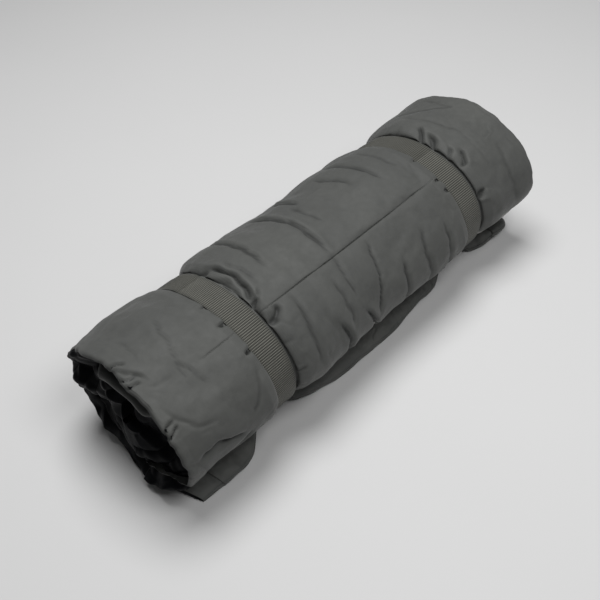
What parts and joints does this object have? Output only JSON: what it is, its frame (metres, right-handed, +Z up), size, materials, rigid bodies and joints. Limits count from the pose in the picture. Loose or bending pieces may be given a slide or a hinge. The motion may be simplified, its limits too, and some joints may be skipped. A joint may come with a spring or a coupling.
{
  "type": "foam sleeping pad",
  "caption": "Fabric-covered foam sleeping pad, rolled up and held by webbing straps with side-release buckles.",
  "frame": {"origin": "middle of the rolled pad's footprint, on the floor", "axes": "+X along the roll, from the near end to the far end; the pad's free end lies on the floor at the -Y side; the buckles sit on the +Y side; +Z up"},
  "size_m": [0.68, 0.245, 0.1864],
  "materials": {
    "face_cloth": "matte",
    "side_cloth": "satin",
    "foam": "matte",
    "webbing": "matte",
    "buckle_plastic": "satin"
  },
  "bodies": {
    "root": {"foam_core": "foam", "outer_face_panel": "face_cloth", "inner_face_panel": "face_cloth", "near_side_wall": "side_cloth", "far_side_wall": "side_cloth", "free_end_wall": "side_cloth", "inner_end_wall": "side_cloth", "near_strap_webbing": "webbing", "near_buckle_socket": "buckle_plastic", "far_strap_webbing": "webbing", "far_buckle_socket": "buckle_plastic"},
    "near_plug": {"near_buckle_plug": "buckle_plastic"},
    "near_left_arm": {"near_left_latch_arm": "buckle_plastic"},
    "near_right_arm": {"near_right_latch_arm": "buckle_plastic"},
    "far_plug": {"far_buckle_plug": "buckle_plastic"},
    "far_left_arm": {"far_left_latch_arm": "buckle_plastic"},
    "far_right_arm": {"far_right_latch_arm": "buckle_plastic"}
  },
  "joints": [
    {"name": "near_plug_release", "type": "slide", "parent": "root", "child": "near_plug", "axis": [0, 0, 1], "range_m": [0, 0.03], "deforming": ["near_left_latch_arm", "near_right_latch_arm", "near_strap_webbing"]},
    {"name": "near_right_latch", "type": "hinge", "parent": "near_plug", "child": "near_right_arm", "pos_m": [-0.162, 0.1065, 0.09357], "axis": [0, 1, 0], "range_deg": [0, 11], "stiffness_Nm_per_rad": 0.5},
    {"name": "near_left_latch", "type": "hinge", "parent": "near_plug", "child": "near_left_arm", "pos_m": [-0.198, 0.1065, 0.09357], "axis": [0, 1, 0], "range_deg": [-11, 0], "stiffness_Nm_per_rad": 0.5},
    {"name": "far_plug_release", "type": "slide", "parent": "root", "child": "far_plug", "axis": [0, 0, 1], "range_m": [0, 0.03], "deforming": ["far_left_latch_arm", "far_right_latch_arm", "far_strap_webbing"]},
    {"name": "far_right_latch", "type": "hinge", "parent": "far_plug", "child": "far_right_arm", "pos_m": [0.227, 0.1065, 0.09357], "axis": [0, 1, 0], "range_deg": [0, 11], "stiffness_Nm_per_rad": 0.5},
    {"name": "far_left_latch", "type": "hinge", "parent": "far_plug", "child": "far_left_arm", "pos_m": [0.191, 0.1065, 0.09357], "axis": [0, 1, 0], "range_deg": [-11, 0], "stiffness_Nm_per_rad": 0.5}
  ],
  "couplings": [
    {"joint": "near_left_latch", "follows": "near_right_latch", "ratio": -1},
    {"joint": "far_left_latch", "follows": "far_right_latch", "ratio": -1}
  ]
}
